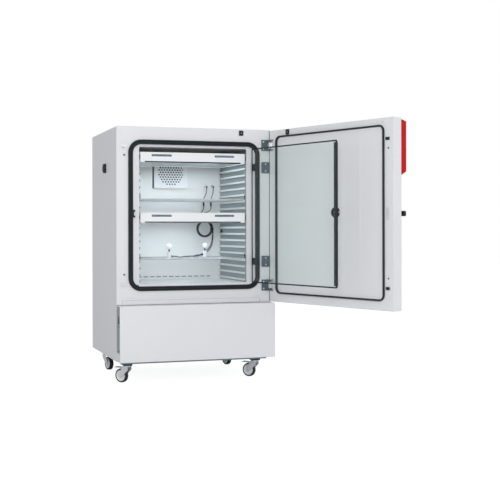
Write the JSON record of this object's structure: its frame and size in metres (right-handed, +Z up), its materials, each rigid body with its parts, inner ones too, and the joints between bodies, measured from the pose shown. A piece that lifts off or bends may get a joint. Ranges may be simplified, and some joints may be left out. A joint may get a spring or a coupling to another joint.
{
  "type": "climate chamber",
  "caption": "Insulated climate chamber on castors with an outer door, an inner glass door, light cassettes, wire racks and a base with its machine room.",
  "frame": {"origin": "on the floor, under the middle of the cabinet without its doors", "axes": "+X to the right seen from the front, +Y to the back, +Z up; the open doors reach towards -Y"},
  "size_m": [1.3808, 1.6002, 1.46],
  "materials": {
    "cabinet_paint": "satin powder coat",
    "liner_steel": "satin",
    "rib_steel": "bright satin",
    "white_sheet": "semi-gloss white",
    "seal_rubber": "matte",
    "black_plastic": "fine grain",
    "block_plastic": "matte",
    "red_plastic": "satin red",
    "screen": "glossy",
    "door_glass": "clear",
    "diffuser_clear": "clear",
    "lamp_glass": "opal",
    "rack_wire": "electropolished",
    "foam": "rigid foam",
    "machine_paint": "black enamel",
    "fin_aluminium": "mill finish",
    "zinc_steel": "zinc plated",
    "strip_paint": "satin grey",
    "lead_jacket": "satin",
    "castor_block": "dark blue-grey enamel",
    "tread": "matte",
    "sensor_white": "opal white"
  },
  "bodies": {
    "cabinet": {"outer_shell": "cabinet_paint", "back_panel": "cabinet_paint", "base_tray": "machine_paint", "front_frame": "cabinet_paint", "lower_cover": "cabinet_paint", "switch_strip": "strip_paint", "inner_liner": "liner_steel", "side_walls": "rib_steel", "insulation": "foam", "chamber_gasket": "seal_rubber", "hinge_blocks": "block_plastic", "latch_catches": "zinc_steel", "fan_cover": "liner_steel", "fan_motor": "machine_paint", "evaporator": "fin_aluminium", "compressor": "machine_paint", "condenser": "fin_aluminium", "humidifier": "liner_steel", "power_unit": "strip_paint", "lead_sockets": "black_plastic", "rack_lower": "rack_wire", "port_sleeve": "zinc_steel", "castor_mounts": "castor_block", "light_sensors": "sensor_white", "sensor_leads": "lead_jacket", "lead_coils": "lead_jacket", "lead_connectors": "black_plastic"},
    "outer_door": {"door_skin": "cabinet_paint", "door_inner_panel": "cabinet_paint", "door_foam": "foam", "door_gasket": "seal_rubber", "door_hinge_pins": "zinc_steel", "controller_housing": "red_plastic", "display_window": "screen"},
    "door_lever": {"door_handle": "black_plastic"},
    "door_lock": {"lock_rod": "zinc_steel"},
    "glass_door": {"glass_pane": "door_glass", "glass_trim": "seal_rubber", "glass_hinges": "zinc_steel"},
    "glass_latch": {"glass_knob": "black_plastic"},
    "upper_rack": {"rack_upper": "rack_wire"},
    "upper_cassette": {"cassette_upper_housing": "white_sheet", "cassette_upper_diffuser": "diffuser_clear", "cassette_upper_tubes": "lamp_glass"},
    "lower_cassette": {"cassette_lower_housing": "white_sheet", "cassette_lower_diffuser": "diffuser_clear", "cassette_lower_tubes": "lamp_glass"},
    "fan": {"fan_impeller": "black_plastic"},
    "plug": {"port_plug": "seal_rubber"},
    "rocker": {"power_switch": "black_plastic"},
    "fork_front_left": {"castor_fork_front_left": "zinc_steel"},
    "wheel_front_left": {"castor_wheel_front_left": "tread"},
    "pedal_front_left": {"brake_pedal_front_left": "zinc_steel"},
    "fork_front_right": {"castor_fork_front_right": "zinc_steel"},
    "wheel_front_right": {"castor_wheel_front_right": "tread"},
    "pedal_front_right": {"brake_pedal_front_right": "zinc_steel"},
    "fork_rear_left": {"castor_fork_rear_left": "zinc_steel"},
    "wheel_rear_left": {"castor_wheel_rear_left": "tread"},
    "fork_rear_right": {"castor_fork_rear_right": "zinc_steel"},
    "wheel_rear_right": {"castor_wheel_rear_right": "tread"}
  },
  "joints": [
    {"name": "outer_door_hinge", "type": "hinge", "parent": "cabinet", "child": "outer_door", "pos_m": [0.458, -0.367, 0.9525], "axis": [0, 0, 1], "range_deg": [-111.76, 5.8]},
    {"name": "glass_door_hinge", "type": "hinge", "parent": "cabinet", "child": "glass_door", "pos_m": [0.356, -0.347, 0.9555], "axis": [0, 0, 1], "range_deg": [-109.26, 5.7]},
    {"name": "handle_turn", "type": "hinge", "parent": "outer_door", "child": "door_lever", "pos_m": [0.85296, -1.16225, 0.957], "axis": [-0.9287, -0.3707, 0], "range_deg": [0, 90]},
    {"name": "lock_rod_slide", "type": "slide", "parent": "outer_door", "child": "door_lock", "axis": [0, 0, 1], "range_m": [0, 0.018]},
    {"name": "glass_knob_turn", "type": "hinge", "parent": "glass_door", "child": "glass_latch", "pos_m": [0.57792, -0.98818, 0.965], "axis": [0.944, 0.3299, 0], "range_deg": [0, 90]},
    {"name": "upper_rack_slide", "type": "slide", "parent": "cabinet", "child": "upper_rack", "axis": [0, -1, 0], "range_m": [0, 0.4]},
    {"name": "upper_cassette_slide", "type": "slide", "parent": "cabinet", "child": "upper_cassette", "axis": [0, -1, 0], "range_m": [0, 0.38]},
    {"name": "lower_cassette_slide", "type": "slide", "parent": "cabinet", "child": "lower_cassette", "axis": [0, -1, 0], "range_m": [0, 0.38]},
    {"name": "fan_spin", "type": "hinge", "parent": "cabinet", "child": "fan", "pos_m": [-0.005, 0.2, 1.231], "axis": [0, 1, 0], "continuous": true},
    {"name": "port_plug_slide", "type": "slide", "parent": "cabinet", "child": "plug", "axis": [-1, 0, 0], "range_m": [0, 0.1]},
    {"name": "power_switch_rock", "type": "hinge", "parent": "cabinet", "child": "rocker", "pos_m": [-0.4545, -0.415, 0.37], "axis": [0, -1, 0], "range_deg": [0, 8]},
    {"name": "swivel_front_left", "type": "hinge", "parent": "cabinet", "child": "fork_front_left", "pos_m": [-0.388, -0.293, 0.099], "axis": [0, 0, 1], "continuous": true},
    {"name": "spin_front_left", "type": "hinge", "parent": "fork_front_left", "child": "wheel_front_left", "pos_m": [-0.41243, -0.26389, 0.04], "axis": [-0.766, -0.6428, 0], "continuous": true},
    {"name": "brake_front_left", "type": "hinge", "parent": "fork_front_left", "child": "pedal_front_left", "pos_m": [-0.397, -0.28227, 0.0846], "axis": [-0.766, -0.6428, 0], "range_deg": [0, 6]},
    {"name": "swivel_front_right", "type": "hinge", "parent": "cabinet", "child": "fork_front_right", "pos_m": [0.388, -0.293, 0.099], "axis": [0, 0, 1], "continuous": true},
    {"name": "spin_front_right", "type": "hinge", "parent": "fork_front_right", "child": "wheel_front_right", "pos_m": [0.36357, -0.26389, 0.04], "axis": [-0.766, -0.6428, 0], "continuous": true},
    {"name": "brake_front_right", "type": "hinge", "parent": "fork_front_right", "child": "pedal_front_right", "pos_m": [0.379, -0.28227, 0.0846], "axis": [-0.766, -0.6428, 0], "range_deg": [0, 6]},
    {"name": "swivel_rear_left", "type": "hinge", "parent": "cabinet", "child": "fork_rear_left", "pos_m": [-0.388, 0.285, 0.099], "axis": [0, 0, 1], "continuous": true},
    {"name": "spin_rear_left", "type": "hinge", "parent": "fork_rear_left", "child": "wheel_rear_left", "pos_m": [-0.37816, 0.24829, 0.04], "axis": [0.9659, 0.2588, 0], "continuous": true},
    {"name": "swivel_rear_right", "type": "hinge", "parent": "cabinet", "child": "fork_rear_right", "pos_m": [0.388, 0.285, 0.099], "axis": [0, 0, 1], "continuous": true},
    {"name": "spin_rear_right", "type": "hinge", "parent": "fork_rear_right", "child": "wheel_rear_right", "pos_m": [0.39783, 0.24829, 0.04], "axis": [0.9659, 0.2588, 0], "continuous": true}
  ],
  "couplings": [
    {"joint": "glass_door_hinge", "follows": "outer_door_hinge", "ratio": 0.97763},
    {"joint": "lock_rod_slide", "follows": "handle_turn", "m_per_rad": 0.01145}
  ]
}
